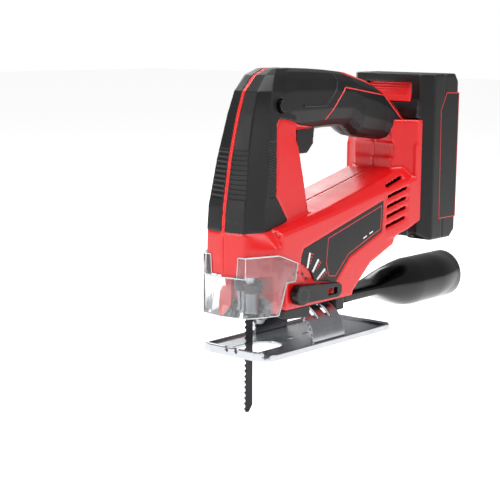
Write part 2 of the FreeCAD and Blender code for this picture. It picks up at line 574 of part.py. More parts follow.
# ---- switch, trigger, lock and electronics --------------------------------------------------------
def build_switch():
    switch_z = FLOOR_Z + 2 + TRIGGER_TRAVEL + 1.7
    save("switch_body", box(38.6, 77.1, -10, 10, switch_z, 190).fuse(
        box(72, 77.1, -6, 6, FLOOR_Z + 0.4, switch_z + 1)).removeSplitter())
    finger = prism_y([(TRIGGER_X0, 156), (TRIGGER_X0, 143), (TRIGGER_X0 + 3, 139.6), (TRIGGER_X1 - 8, 139.6),
                      (TRIGGER_X1 - 1, 146), (TRIGGER_X1, 156)], -TRIGGER_HALF, TRIGGER_HALF)
    stem = box(TRIGGER_X0, TRIGGER_X1, -TRIGGER_HALF, TRIGGER_HALF, 155, FLOOR_Z + 0.6)
    flange = box(TRIGGER_X0 - 2.5, TRIGGER_X1 + 2.5, -TRIGGER_HALF, TRIGGER_HALF, FLOOR_Z + 0.2, FLOOR_Z + 2)
    save("trigger", union([finger, stem, flange]))
    save("trigger_spring", tube((53, 0, FLOOR_Z + 2.1), (0, 0, 1), 3.2, 2.0, TRIGGER_TRAVEL + 1.5))
    cap = rod((LOCK_X, -20.3, LOCK_Z), (0, 1, 0), LOCK_R, 7.3)
    head = rod((LOCK_X, -13.3, LOCK_Z), (0, 1, 0), LOCK_R + 1.2, 1.3)
    save("lock_button", union([cap, head]))
    save("lock_spring", tube((LOCK_X, -11.9, LOCK_Z), (0, 1, 0), 3.0, 2.0, 7.8))
    save("control_board", box(REAR_X - 12.7, REAR_X - 11.1, -14.5, 14.5, 96, 136))
    save("board_carrier", union([box(REAR_X - 11.1, REAR_X - 8.1, -18, 18, 94, 138),
                                 box(REAR_X - 11.1, REAR_X - 8.5, -30.9, 30.9, 100, 104)]))


# ---- battery interface and battery ------------------------------------------------------------------
def build_battery_mount():
    r = RAIL_HALF - SEAT
    block = box(REAR_X - 8, REAR_X + 3, -r, r, RAIL_Z0 + SEAT, RAIL_Z1 - SEAT)
    lips = box(REAR_X + 3, REAR_X + 6, -r - 3, r + 3, RAIL_Z0 + SEAT, RAIL_Z1 - SEAT)
    save("battery_rail", union([block, lips]))
    blades = [box(REAR_X + 6, REAR_X + 13, y - 0.4, y + 0.4, 104, 122) for y in (-15, -5, 5, 15)]
    save("battery_terminals", Part.makeCompound(blades))


def battery_form(inset):
    t = inset
    plan = mirrored([(BATT_X0 + t, 0), (BATT_X0 + t, 30 - t), (BATT_X0 + 9, BATT_HALF - t),
                     (BATT_X1 - 8, BATT_HALF - t), (BATT_X1 - t, 30 - t), (BATT_X1 - t, 0)])
    side = [(BATT_X0 - 5, BATT_Z0 + 8 + t), (BATT_X0 + 8, BATT_Z0 + t), (BATT_X1 - 14, BATT_Z0 + t),
            (BATT_X1 - t, BATT_Z0 + 12), (BATT_X1 - t, BATT_Z1 - 16), (BATT_X1 - 12, BATT_Z1 - t),
            (BATT_X0 - 5, BATT_Z1 - t)]
    return prism_z(plan, BATT_Z0 - 5, BATT_Z1 + 5).common(prism_y(side, -60, 60))


def latch_block(inset):
    """Sloping block on the front of the battery that carries the release button."""
    t = inset
    side = [(162.6 + t, 161 + t), (164 + t, 168), (171 + t, 190 - t), (175, BATT_Z1 - t), (182, BATT_Z1 - t),
            (182, 161 + t)]
    return prism_y(side, -30 + t, 30 - t)


def build_battery():
    g = RUN
    channel = [box(BATT_X0 - 2, REAR_X + 3 - g, -RAIL_HALF - g, RAIL_HALF + g, 50, RAIL_Z1 + g),
               box(REAR_X + 3 - g, REAR_X + 6 + g, -RAIL_HALF - 3 - g, RAIL_HALF + 3 + g, 50, RAIL_Z1 + g),
               box(REAR_X + 6, REAR_X + 14, -16.5, 16.5, 50, 124)]
    liner = [box(BATT_X0, REAR_X + 8.5 + g, -RAIL_HALF - 5.5, RAIL_HALF + 5.5, 60, RAIL_Z1 + 3),
             box(REAR_X + 6, REAR_X + 16, -19, 19, 60, 127)]
    outer = battery_form(0).fuse(latch_block(0)).removeSplitter()
    inner = battery_form(BATT_WALL).fuse(latch_block(BATT_WALL)).cut(liner)
    button_room = latch_room(RUN)
    shell = outer.cut(inner).cut(channel + [button_room])
    split = BATT_X0 + 24
    save("battery_front_case", shell.common(box(100, split, -60, 60, 50, 220)))
    save("battery_rear_case", shell.common(box(split, 260, -60, 60, 50, 220)))
    button = latch_room(0).cut(box(100, 260, -60, 60, 0, 173.4))
    save("release_button", button)
    save("release_spring", rod((174.6, 0, 181), (1, 0, 0), 3, 9.6))
    cells = []
    for column in range(5):
        y = 13.6 * (column - 2)
        cells.append(rod((BATT_X0 + 34 + 3 * (column % 2), y, BATT_Z0 + 22), (0, 0, 1), 6.5, 70))
    save("battery_cells", Part.makeCompound(cells))
    save("cell_holder", union([box(split + 0.2, BATT_X1 - BATT_WALL - 0.2, -34, 34, BATT_Z0 + 15, BATT_Z0 + 21.9),
                               box(split - 6, split + 4, -30, 30, BATT_Z0 + 15, BATT_Z0 + 20)])
         .common(battery_form(BATT_WALL + SEAT)))
    contacts = []
    for y in (-15, -5, 5, 15):
        for sign in (-1, 1):
            y0, y1 = sorted((y + sign * 0.7, y + sign * 1.3))
            contacts.append(box(REAR_X + 8.0, REAR_X + 14.0, y0, y1, 126.9 - 20, 126.9 - 8))
    save("battery_contacts", Part.makeCompound(contacts))


def latch_room(grow):
    """Body of the release button, flush with the slope of the block; grown, it's the open pocket."""
    g = grow
    reach = 4 if grow else 0
    slope = [(165.66 - reach, 173.2 - g), (174.4, 173.2 - g), (174.4, 189.0 + g), (170.69 - reach, 189.0 + g)]
    return prism_y(slope, -21 - g, 21 + g)


# ---- sole plate, tilt bracket and dust tube -----------------------------------------------------------
def build_sole():
    """Pressed steel shoe with raised rims, a slot for the blade and a bracket for bevel cuts."""
    corner = 12
    plan = [(SOLE_X0, -SOLE_HALF + corner), (SOLE_X0 + 3.5, -SOLE_HALF + 3.5), (SOLE_X0 + corner, -SOLE_HALF),
            (SOLE_X1 - 4, -SOLE_HALF), (SOLE_X1, -SOLE_HALF + 4)]
    plan = plan + [(x, -y) for x, y in reversed(plan)]
    rim = box(SOLE_X0, SOLE_X1, -SOLE_HALF, SOLE_HALF, 0, SOLE_RIM).cut(
        box(SOLE_X0 + 2.2, SOLE_X1 - 2.2, -SOLE_HALF + 2.2, SOLE_HALF - 2.2, 0, 20))
    lip = box(SOLE_X0, SOLE_X0 + 3.2, -SOLE_HALF, SOLE_HALF, 0, SOLE_LIP)
    plate = union([box(SOLE_X0, SOLE_X1, -SOLE_HALF, SOLE_HALF, 0, SOLE_T), rim, lip])
    plate = plate.common(prism_z(plan, -1, 20))
    mouth = union([box(SLOT_X0, SLOT_X1 - SLOT_HALF, -SLOT_HALF, SLOT_HALF, -5, 20),
                   rod((SLOT_X1 - SLOT_HALF, 0, -5), (0, 0, 1), SLOT_HALF, 25)])
    sights = [box(SOLE_X0 - 1, SOLE_X0 + 4, *sorted((sign * 3, sign * 5.5)), SOLE_T + 1, 20) for sign in (-1, 1)]
    bolt_slots = [box(x - 3.2, x + 3.2, -2.2, 2.2, -5, 20) for x in (BRACKET_X0 + 9, BRACKET_X1 - 9)]
    save("sole_plate", cut(plate, [mouth] + sights + bolt_slots))
    ring = tube((BRACKET_X0, 0, TILT_Z), (1, 0, 0), TILT_R, TILT_R - TILT_T, BRACKET_X1 - BRACKET_X0)
    arc = ring.common(box(0, 100, -60, 60, SOLE_T + 0.0, 60))
    slots = [box(x - 2.7, x + 2.7, -22.8, 22.8, 10, 60) for x in BASE_SCREW_X]
    save("tilt_bracket", arc.cut(slots))
    inner = TILT_R - TILT_T - RUN
    wrap = tube((BASE_SCREW_X[0] - 5, 0, TILT_Z), (1, 0, 0), inner, inner - 2.5, 25)
    holes = [rod((x, 0, 0), (0, 0, 1), BASE_SCREW_R + SEAT, 60) for x in BASE_SCREW_X]
    save("clamp_plate", wrap.common(box(0, 100, -8, 8, 10, 60)).cut(holes))
    head_z = TILT_Z + math.sqrt((inner - 2.5) ** 2 - 4.4 ** 2) - 3.4
    shanks = [union([rod((x, 0, head_z), (0, 0, 1), 4.4, 3.2), rod((x, 0, head_z), (0, 0, 1), BASE_SCREW_R,
                                                                  45.5 - head_z)]) for x in BASE_SCREW_X]
    save("base_screws", Part.makeCompound(shanks))


def seat_cylinder(radius, y0, y1):
    """Room for the sole's arc: a round tunnel along the tilt axis between two widths."""
    return rod((-20, 0, TILT_Z), (1, 0, 0), radius, 140).common(box(-30, 130, y0, y1, -60, 60))


def shift_slot(x, half_width, height):
    """Slot that lets a base screw move back with the sole."""
    return union([rod((x, 0, 0), (0, 0, 1), half_width, height),
                  box(x, x + BASE_SHIFT, -half_width, half_width, 0, height),
                  rod((x + BASE_SHIFT, 0, 0), (0, 0, 1), half_width, height)])


def build_foot():
    """Black seat under the gearbox that rides on the bracket's arc and holds the dust tube."""
    block = prism_y([(3.4, 28), (3.4, 33.4), (79, 33.4), (79, 26), (36, 24), (8, 26)], -27.5, 27.5)
    boss = box(BASE_SCREW_X[0] - 5.9, BOSS_X1, -BOSS_HALF, BOSS_HALF, 33, 42)
    holes = [shift_slot(x, BASE_SCREW_R + SEAT, 60) for x in BASE_SCREW_X]
    wall = DUCT_HALF_Y + 2.5
    socket = box(SOCKET_X0, SOCKET_X1, -wall, wall, DUCT_Z - DUCT_HALF_Z - 2.2, 33.4)
    bridge = box(70, SOCKET_X0 + 1, -wall, wall, TILT_Z + TILT_R + RUN, 33.4)
    mouth = box(TUBE_X0 - RUN, SOCKET_X1 + 5, -DUCT_HALF_Y - RUN, DUCT_HALF_Y + RUN,
                DUCT_Z - DUCT_HALF_Z - RUN, DUCT_Z + DUCT_HALF_Z + RUN)
    intake = box(SOCKET_X0 - 1, TUBE_X0 + 1, -10, 10, 23, 30)
    room = box(0, 28.5, -9, 9, 15, 45)
    arms = [box(19.5, 23.5, *sorted((sign * 5.6, sign * 10)), 29, 41.5) for sign in (-1, 1)]
    pin = rod((FORK_X, -9.0, FORK_Z), (0, 1, 0), 2.0 + FIT, 18)
    clear = [seat_cylinder(TILT_R + RUN, -14, 14), seat_cylinder(TILT_R + 4, -60, -14),
             seat_cylinder(TILT_R + 4, 14, 60)]
    sides = [box(BRACKET_X0 - 3, 90, *sorted((sign * SEAT_SIDE, sign * 40)), 20, 40) for sign in (-1, 1)]
    seat = union([block.cut(clear + sides), boss, bridge, socket]).cut([room, mouth, intake] + holes)
    save("foot_seat", union([seat] + arms).cut(pin))
    save("seat_nuts", Part.makeCompound([box(x - 4, x + 4, -BOSS_HALF, BOSS_HALF, 42.1, 45).cut(
        rod((x, 0, 0), (0, 0, 1), BASE_SCREW_R + FIT, 60)) for x in BASE_SCREW_X]))


def tube_form(inset):
    t = inset
    def ring(x, half_y, z, half_z, bow):
        points = []
        for step in range(24):
            angle = 2 * math.pi * (step + 0.5) / 24
            c, s = math.cos(angle), math.sin(angle)
            points.append(V(x, (half_y - t) * math.copysign(abs(c) ** bow, c),
                            z + (half_z - t) * math.copysign(abs(s) ** bow, s)))
        return points
    duct = loft([ring(TUBE_X0, DUCT_HALF_Y, DUCT_Z, DUCT_HALF_Z, 0.5),
                 ring(141, DUCT_HALF_Y, DUCT_Z, DUCT_HALF_Z, 0.6), ring(164, 15.5, 25.4, 12, 0.8),
                 ring(TUBE_CYL_X - 12, 18.4, TUBE_Z, 17.8, 0.95), ring(TUBE_CYL_X, TUBE_R, TUBE_Z, TUBE_R, 1)])
    return duct.fuse(rod((TUBE_CYL_X, 0, TUBE_Z), (1, 0, 0), TUBE_R - t, TUBE_X1 - TUBE_CYL_X))


def build_dust_tube():
    hollow = tube_form(TUBE_WALL).fuse([rod((TUBE_X1 - 1, 0, TUBE_Z), (1, 0, 0), TUBE_R - TUBE_WALL, 5),
                                        box(TUBE_X0 - 1, TUBE_X0 + 1, -9, 9, 23.6, 29)])
    save("dust_tube", tube_form(0).cut(hollow))


# ---- blade guard ------------------------------------------------------------------------------------
def build_guard():
    """Clear cover clipped over the nose: front panel, slanted cheeks and two side flanges."""
    def plan(offset):
        o = offset
        return mirrored([(-29.8 - o, 0), (-26.4 - o, 17.9 + o), (-7.3 - o * 0.4, BODY_HALF - 0.6 + o),
                         (0, BODY_HALF + 0.4 + o), (30, BODY_HALF + 0.4 + o), (30, 0)])
    wrap = prism_z(plan(1.4), 28, 75).cut(prism_z(plan(0), 20, 80))
    side = [(-40, 31), (-40, NOSE_Z - 0.5), (-27.6, NOSE_Z - 0.5), (-27.4, 73), (-6, 74), (23.5, 66.5),
            (19.3, 54), (5.4, 54), (1.3, 47), (-5.7, 32), (-20, 31)]
    save("blade_guard", wrap.common(prism_y(side, -60, 60)))


os.makedirs("parts", exist_ok=True)
grip_solid = grip_skin()
build_housing()
build_screws()
for name, side in (("left_label", -1), ("right_label", 1)):
    save(name, label_plate(side))
build_gear_case()
build_drive_gear()
build_motor()
build_plunger()
build_blade()
build_orbital()
build_switch()
build_battery_mount()
build_battery()
build_sole()
build_foot()
build_dust_tube()
build_guard()
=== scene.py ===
"""Looks of a cordless jigsaw, section by section as the tool is put together. Units are metres."""

import json
import math

import bmesh
import bpy
from mathutils import Matrix, Vector


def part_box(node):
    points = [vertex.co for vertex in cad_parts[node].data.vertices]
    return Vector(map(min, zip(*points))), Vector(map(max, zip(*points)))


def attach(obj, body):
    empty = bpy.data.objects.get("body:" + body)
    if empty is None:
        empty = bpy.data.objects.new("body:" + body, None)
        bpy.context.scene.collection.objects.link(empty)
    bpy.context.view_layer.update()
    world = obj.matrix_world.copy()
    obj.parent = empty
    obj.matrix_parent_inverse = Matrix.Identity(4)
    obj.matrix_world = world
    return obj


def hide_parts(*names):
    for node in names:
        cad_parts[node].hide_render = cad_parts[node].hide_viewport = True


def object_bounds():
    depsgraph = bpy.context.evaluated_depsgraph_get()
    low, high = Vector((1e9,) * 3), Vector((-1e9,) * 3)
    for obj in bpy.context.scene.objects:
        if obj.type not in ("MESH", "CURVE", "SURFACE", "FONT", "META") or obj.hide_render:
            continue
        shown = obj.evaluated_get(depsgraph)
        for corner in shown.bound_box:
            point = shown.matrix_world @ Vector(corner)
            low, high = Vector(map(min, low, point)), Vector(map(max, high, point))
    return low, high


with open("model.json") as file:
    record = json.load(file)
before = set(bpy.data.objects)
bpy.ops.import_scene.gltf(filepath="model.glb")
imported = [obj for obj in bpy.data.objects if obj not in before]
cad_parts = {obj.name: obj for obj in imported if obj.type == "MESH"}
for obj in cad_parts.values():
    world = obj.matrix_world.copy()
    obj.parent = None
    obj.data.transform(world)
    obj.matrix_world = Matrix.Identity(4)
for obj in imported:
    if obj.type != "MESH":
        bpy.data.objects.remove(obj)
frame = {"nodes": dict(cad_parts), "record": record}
cad_box = [list(corner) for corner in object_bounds()]
MM = 0.001
scene = bpy.context.scene
scene.view_settings.view_transform = "Standard"   # plain colours, as on a product sheet

# ---- Camera --------------------------------------------------------------------------------------
# A long lens, a little above the handle, that looks at the tool's left front quarter.
CAMERA_PLACE = (-0.723, -0.6175, 0.2288)
CAMERA_TURN, CAMERA_DOWN, CAMERA_ROLL = -49.5, 9.25, 0.4
camera = bpy.data.objects.new("camera", bpy.data.cameras.new("camera"))
camera.data.lens, camera.data.sensor_width = 97.9, 36.0
camera.data.clip_start = 0.05
turn = Matrix.Rotation(math.radians(CAMERA_TURN), 4, "Z")
tip = Matrix.Rotation(math.radians(90 - CAMERA_DOWN), 4, "X")
roll = Matrix.Rotation(math.radians(CAMERA_ROLL), 4, "Z")
camera.matrix_world = Matrix.Translation(CAMERA_PLACE) @ turn @ tip @ roll
scene.collection.objects.link(camera)
scene.camera = camera


# ---- Studio: pale floor, white surround and soft lights ------------------------------------------
# A white sweep of painted board under large diffusers, so that the mouldings carry long soft
# highlights and the metal shows bright and dark bands.
def linear(hex_code):
    """sRGB hex value as the linear colour that the shaders take."""
    parts = [int(hex_code[i:i + 2], 16) / 255 for i in (1, 3, 5)]
    return [c / 12.92 if c <= 0.04045 else ((c + 0.055) / 1.055) ** 2.4 for c in parts] + [1.0]


def add_node(tree, kind, inputs=None, **settings):
    """Add a node; an input is either a socket to link from or a value to set."""
    made = tree.nodes.new(kind)
    for name, value in settings.items():
        setattr(made, name, value)
    for name, value in (inputs or {}).items():
        if isinstance(value, bpy.types.NodeSocket):
            tree.links.new(value, made.inputs[name])
        else:
            made.inputs[name].default_value = value
    return made


def new_material(name):
    material = bpy.data.materials.new(name)
    material.use_nodes = True
    material.node_tree.nodes.clear()
    place = add_node(material.node_tree, "ShaderNodeTexCoord").outputs["Object"]
    return material, material.node_tree, place


def painted_board():
    """Matt white emulsion on board, faintly rolled."""
    material, tree, place = new_material("painted_board")
    stipple = add_node(tree, "ShaderNodeTexNoise", {"Vector": place, "Scale": 300.0, "Detail": 2.0})
    bump = add_node(tree, "ShaderNodeBump", {"Height": stipple.outputs[0], "Strength": 0.03, "Distance": 0.0002})
    shader = add_node(tree, "ShaderNodeBsdfPrincipled", {
        "Base Color": linear("#FCFCFC"), "Roughness": 0.85, "Normal": bump.outputs[0],
        "Emission Color": linear("#FFFFFF"), "Emission Strength": 0.62})
    add_node(tree, "ShaderNodeOutputMaterial", {"Surface": shader.outputs[0]})
    return material


def plain_piece(name, data, material=None):
    """New object at the origin with this mesh."""
    piece = bpy.data.objects.new(name, data)
    scene.collection.objects.link(piece)
    if material:
        data.materials.clear()
        data.materials.append(material)
    return piece


FLOOR_HALF = 6.0
floor_z = cad_box[0][2]
floor_mesh = bpy.data.meshes.new("floor")
floor_mesh.from_pydata([(x, y, floor_z) for x, y in ((-FLOOR_HALF, -FLOOR_HALF), (FLOOR_HALF, -FLOOR_HALF),
                                                     (FLOOR_HALF, FLOOR_HALF), (-FLOOR_HALF, FLOOR_HALF))],
                       [], [(0, 1, 2, 3)])
floor = plain_piece("floor", floor_mesh, painted_board())

world = bpy.data.worlds.new("studio")
scene.world = world
world.use_nodes = True
surround = world.node_tree
seen = add_node(surround, "ShaderNodeLightPath").outputs["Is Camera Ray"]
brightness = add_node(surround, "ShaderNodeMapRange", {"Value": seen, "To Min": 0.34, "To Max": 1.0})
surround.nodes["Background"].inputs["Color"].default_value = linear("#FFFFFF")
surround.links.new(brightness.outputs[0], surround.nodes["Background"].inputs["Strength"])


def diffuser(name, place, target, width, height, power):
    """Square soft light aimed at a point."""
    light = bpy.data.lights.new(name, "AREA")
    light.shape, light.size, light.size_y, light.energy = "RECTANGLE", width, height, power
    holder = bpy.data.objects.new(name, light)
    aim = (Vector(target) - Vector(place)).to_track_quat("-Z", "Y").to_matrix().to_4x4()
    holder.matrix_world = Matrix.Translation(place) @ aim
    scene.collection.objects.link(holder)


MIDDLE = (0.08, 0.0, 0.08)
diffuser("top_light", (-0.1, -0.15, 1.2), MIDDLE, 0.8, 0.8, 13.0)
diffuser("side_light", (0.25, -1.2, 0.7), MIDDLE, 0.5, 0.7, 4.5)
diffuser("front_light", (-1.1, 0.35, 0.5), MIDDLE, 0.4, 0.8, 5.0)
diffuser("back_light", (0.7, 1.0, 0.8), MIDDLE, 0.8, 0.8, 7.0)

# ---- Housing: two clamshell halves of red ABS ----------------------------------------------------
# Injection-moulded halves that meet at the tool's centre plane. The mould's edges are rounded by
# about a millimetre, and the faces carry a fine spark-eroded grain under a satin gloss.
node_bodies = {n: body for body, members in frame["record"]["behaviour"]["bodies"].items() for n in members}


def moulded(name, shade, second_shade, rough, grain_mm, grain_depth_mm, edge=0.0, edge_shade="#FFFFFF",
            **finish):
    """Injection-moulded plastic: eroded grain, faint flow clouds, gloss that wanders, edges worn pale."""
    material, tree, place = new_material(name)
    clouds = add_node(tree, "ShaderNodeTexNoise", {"Vector": place, "Scale": 55.0, "Detail": 3.0})
    grain = add_node(tree, "ShaderNodeTexNoise", {"Vector": place, "Scale": 1.0 / (grain_mm * MM), "Detail": 2.0})
    tint = add_node(tree, "ShaderNodeMix", {0: clouds.outputs[0], 6: linear(shade), 7: linear(second_shade)},
                    data_type="RGBA")
    colour = tint.outputs[2]
    if edge:
        bend = add_node(tree, "ShaderNodeNewGeometry").outputs["Pointiness"]
        worn = add_node(tree, "ShaderNodeMapRange", {"Value": bend, "From Min": 0.515, "From Max": 0.58,
                                                     "To Min": 0.0, "To Max": edge})
        rubbed = add_node(tree, "ShaderNodeMix", {0: worn.outputs[0], 6: colour, 7: linear(edge_shade)},
                          data_type="RGBA")
        colour = rubbed.outputs[2]
    gloss = add_node(tree, "ShaderNodeMapRange", {"Value": clouds.outputs[0], "From Min": 0.3, "From Max": 0.7,
                                                  "To Min": rough - 0.04, "To Max": rough + 0.05})
    bump = add_node(tree, "ShaderNodeBump", {"Height": grain.outputs[0], "Strength": 0.5,
                                             "Distance": grain_depth_mm * MM})
    values = {"Base Color": colour, "Roughness": gloss.outputs[0], "Normal": bump.outputs[0], "IOR": 1.54}
    values.update(finish)
    shader = add_node(tree, "ShaderNodeBsdfPrincipled", values)
    add_node(tree, "ShaderNodeOutputMaterial", {"Surface": shader.outputs[0]})
    return material


def merged_copy(nodes):
    """One mesh from copies of CAD nodes, their doubled corners merged."""
    shape = bmesh.new()
    for name in nodes:
        shape.from_mesh(frame["nodes"][name].data)
    bmesh.ops.remove_doubles(shape, verts=shape.verts, dist=1e-6)
    data = bpy.data.meshes.new(nodes[0] + "_skin")
    shape.to_mesh(data)
    shape.free()
    return data


def settle(piece):
    """Turn the piece's live modifiers into a plain mesh, shaded smooth."""
    graph = bpy.context.evaluated_depsgraph_get()
    data = bpy.data.meshes.new_from_object(piece.evaluated_get(graph), depsgraph=graph)
    piece.modifiers.clear()
    piece.data = data
    data.shade_smooth()
    return piece


def rounded_skin(name, nodes, material, voxel_mm, passes, most=190000):
    """Closed skin over CAD nodes with the rounded edges that a mould leaves."""
    piece = plain_piece(name, merged_copy(nodes), material)
    remesh = piece.modifiers.new("skin", "REMESH")
    remesh.mode, remesh.voxel_size, remesh.use_smooth_shade = "VOXEL", voxel_mm * MM, True
    smooth = piece.modifiers.new("soften", "SMOOTH")
    smooth.factor, smooth.iterations = 0.5, passes
    settle(piece)
    triangles = sum(len(face.vertices) - 2 for face in piece.data.polygons)
    if triangles > most:
        thin = piece.modifiers.new("thin", "DECIMATE")
        thin.ratio = most / triangles
        settle(piece)
    piece.data.materials.clear()
    piece.data.materials.append(material)
    return piece


def stands_for(piece, *nodes):
    """The piece moves with the CAD nodes it shows, and they are hidden."""
    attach(piece, node_bodies[nodes[0]])
    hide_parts(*nodes)
    return piece


red_abs = moulded("red_abs", "#C8060C", "#D00A10", 0.3, 0.5, 0.008, edge=0.5, edge_shade="#FF4A44")
for side in ("left", "right"):
    node = side + "_housing"
    stands_for(rounded_skin(node + "_shell", [node], red_abs, 0.95, 6), node)

# ---- Grips: soft overmould of black thermoplastic rubber -----------------------------------------
# A matt elastomer skin moulded over the ABS: the wedge in front, the pad behind it and the rear of
# the handle. Fine ribs are moulded into the places where the hand presses.
soft_grip = moulded("soft_grip", "#08080A", "#0C0C0E", 0.42, 0.7, 0.02, edge=0.3, edge_shade="#3A3A40",
                    **{"Specular IOR Level": 0.3})


def rib_tree():
    """Ribs sunk into a surface: a wave along one direction, kept to a box and to one facing."""
    tree = bpy.data.node_groups.new("moulded_ribs", "GeometryNodeTree")
    sockets = {}
    for label, kind in (("Geometry", "NodeSocketGeometry"), ("Pitch", "NodeSocketFloat"),
                        ("Depth", "NodeSocketFloat"), ("Low", "NodeSocketVector"), ("High", "NodeSocketVector"),
                        ("Along", "NodeSocketVector"), ("Facing", "NodeSocketVector"),
                        ("Finish", "NodeSocketMaterial")):
        sockets[label] = tree.interface.new_socket(label, in_out="INPUT", socket_type=kind).identifier
    tree.interface.new_socket("Geometry", in_out="OUTPUT", socket_type="NodeSocketGeometry")
    given = add_node(tree, "NodeGroupInput").outputs
    place = add_node(tree, "GeometryNodeInputPosition").outputs[0]
    normal = add_node(tree, "GeometryNodeInputNormal").outputs[0]
    run = add_node(tree, "ShaderNodeVectorMath", {0: place, 1: given["Along"]}, operation="DOT_PRODUCT")
    phase = add_node(tree, "ShaderNodeMath", {0: run.outputs["Value"], 1: given["Pitch"]}, operation="DIVIDE")
    wave = add_node(tree, "ShaderNodeMath", {0: phase.outputs[0], 1: 0.5}, operation="PINGPONG")
    groove = add_node(tree, "ShaderNodeMapRange", {"Value": wave.outputs[0], "From Min": 0.12, "From Max": 0.3},
                      interpolation_type="SMOOTHSTEP")
    parts = add_node(tree, "ShaderNodeSeparateXYZ", {0: place}).outputs
    low = add_node(tree, "ShaderNodeSeparateXYZ", {0: given["Low"]}).outputs
    high = add_node(tree, "ShaderNodeSeparateXYZ", {0: given["High"]}).outputs
    strength = groove.outputs[0]
    for axis in range(3):
        above = add_node(tree, "ShaderNodeMath", {0: parts[axis], 1: low[axis]}, operation="GREATER_THAN")
        below = add_node(tree, "ShaderNodeMath", {0: parts[axis], 1: high[axis]}, operation="LESS_THAN")
        for test in (above, below):
            strength = add_node(tree, "ShaderNodeMath", {0: strength, 1: test.outputs[0]},
                                operation="MULTIPLY").outputs[0]
    towards = add_node(tree, "ShaderNodeVectorMath", {0: normal, 1: given["Facing"]}, operation="DOT_PRODUCT")
    faces = add_node(tree, "ShaderNodeMath", {0: towards.outputs["Value"], 1: 0.6}, operation="GREATER_THAN")
    strength = add_node(tree, "ShaderNodeMath", {0: strength, 1: faces.outputs[0]}, operation="MULTIPLY").outputs[0]
    sink = add_node(tree, "ShaderNodeMath", {0: strength, 1: given["Depth"]}, operation="MULTIPLY").outputs[0]
    inward = add_node(tree, "ShaderNodeMath", {0: sink, 1: -1.0}, operation="MULTIPLY").outputs[0]
    shift = add_node(tree, "ShaderNodeVectorMath", {0: normal, "Scale": inward}, operation="SCALE").outputs[0]
    moved = add_node(tree, "GeometryNodeSetPosition", {"Geometry": given["Geometry"], "Offset": shift})
    whole = add_node(tree, "GeometryNodeRealizeInstances", {"Geometry": moved.outputs[0]})
    coated = add_node(tree, "GeometryNodeSetMaterial", {"Geometry": whole.outputs[0], "Material": given["Finish"]})
    add_node(tree, "NodeGroupOutput", {"Geometry": coated.outputs[0]})
    return tree, sockets


ribs, rib_sockets = rib_tree()


def rib(piece, finish, pitch_mm, depth_mm, low_mm, high_mm, along, facing):
    """Sink one field of ribs into a piece."""
    field = piece.modifiers.new("ribs", "NODES")
    field.node_group = ribs
    for label, value in (("Pitch", pitch_mm * MM), ("Depth", depth_mm * MM), ("Low", [v * MM for v in low_mm]),
                         ("High", [v * MM for v in high_mm]), ("Along", along), ("Facing", facing),
                         ("Finish", finish)):
        field[rib_sockets[label]] = value
    return settle(piece)


def surface_line(name, skin, points, side, radius_mm, material, sink=0.0):
    """Thin bead of plastic laid over a skin along a path of (x, z), seen from one side."""
    bpy.context.view_layer.update()
    found = []
    for (x0, z0), (x1, z1) in zip(points, points[1:]):
        steps = max(2, int(math.dist((x0, z0), (x1, z1)) / 1.5))
        for k in range(steps):
            x, z = x0 + (x1 - x0) * k / steps, z0 + (z1 - z0) * k / steps
            hit, place, normal, _ = skin.ray_cast(Vector((x * MM, side * 0.06, z * MM)), Vector((0, -side, 0)))
            if hit:
                found.append(place - normal * sink * MM)
    curve = bpy.data.curves.new(name, "CURVE")
    curve.dimensions, curve.bevel_depth, curve.bevel_resolution = "3D", radius_mm * MM, 2
    curve.use_fill_caps = True
    line = curve.splines.new("POLY")
    line.points.add(len(found) - 1)
    for point, place in zip(line.points, found):
        point.co = (*place, 1.0)
    bead = bpy.data.objects.new(name, curve)
    scene.collection.objects.link(bead)
    graph = bpy.context.evaluated_depsgraph_get()
    data = bpy.data.meshes.new_from_object(bead.evaluated_get(graph), depsgraph=graph)
    bpy.data.objects.remove(bead)
    data.shade_smooth()
    return plain_piece(name, data, material)


for side, sign in (("left", -1), ("right", 1)):
    node = side + "_grip"
    grip = rounded_skin(node + "_skin", [node], soft_grip, 0.6, 3)
    y0, y1 = sorted((sign * 2.2, sign * 30))
    rib(grip, soft_grip, 3.3, 0.55, (-60, y0, 112.5), (0, y1, 146.5), (0, 0, 1), (-1, 0, 0))
    rib(grip, soft_grip, 1.9, 0.35, (-4, y0, 113), (13, y1, 152), (0.35, 0, 1), (0, sign, 0))
    rib(grip, soft_grip, 2.2, 0.35, (97, y0, 155), (112, y1, 186), (1, 0, 0.25), (0, sign, 0))
    stands_for(grip, node)
    line = surface_line(side + "_grip_line", grip, [(66, 164), (88.2, 186.6), (139.7, 179.1), (157, 160)], sign,
                        0.5, red_abs)
    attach(line, "housing")
    ridge = surface_line(side + "_pad_ridge", grip, [(78, 197), (79.5, 192), (77.2, 185.4), (71, 178.9), (65, 174.5),
                                                     (50, 174.3), (37, 174.9)], sign, 1.0, soft_grip, 0.35)
    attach(ridge, "housing")

# ---- Label: bare printed film in a recess on each side -------------------------------------------
# Black polyester film with a thin dark red border. It is left bare: no lettering.
label_film = moulded("label_film", "#030304", "#050506", 0.26, 0.9, 0.004, **{"Specular IOR Level": 0.25})
label_red = moulded("label_red", "#B00810", "#BA0C14", 0.34, 0.9, 0.004)
print_white = moulded("print_white", "#E6E6E8", "#DCDCDF", 0.4, 0.9, 0.004)
LABEL_FACE = 30.9
DIAL_X, DIAL_Z = 14.0, 44.0


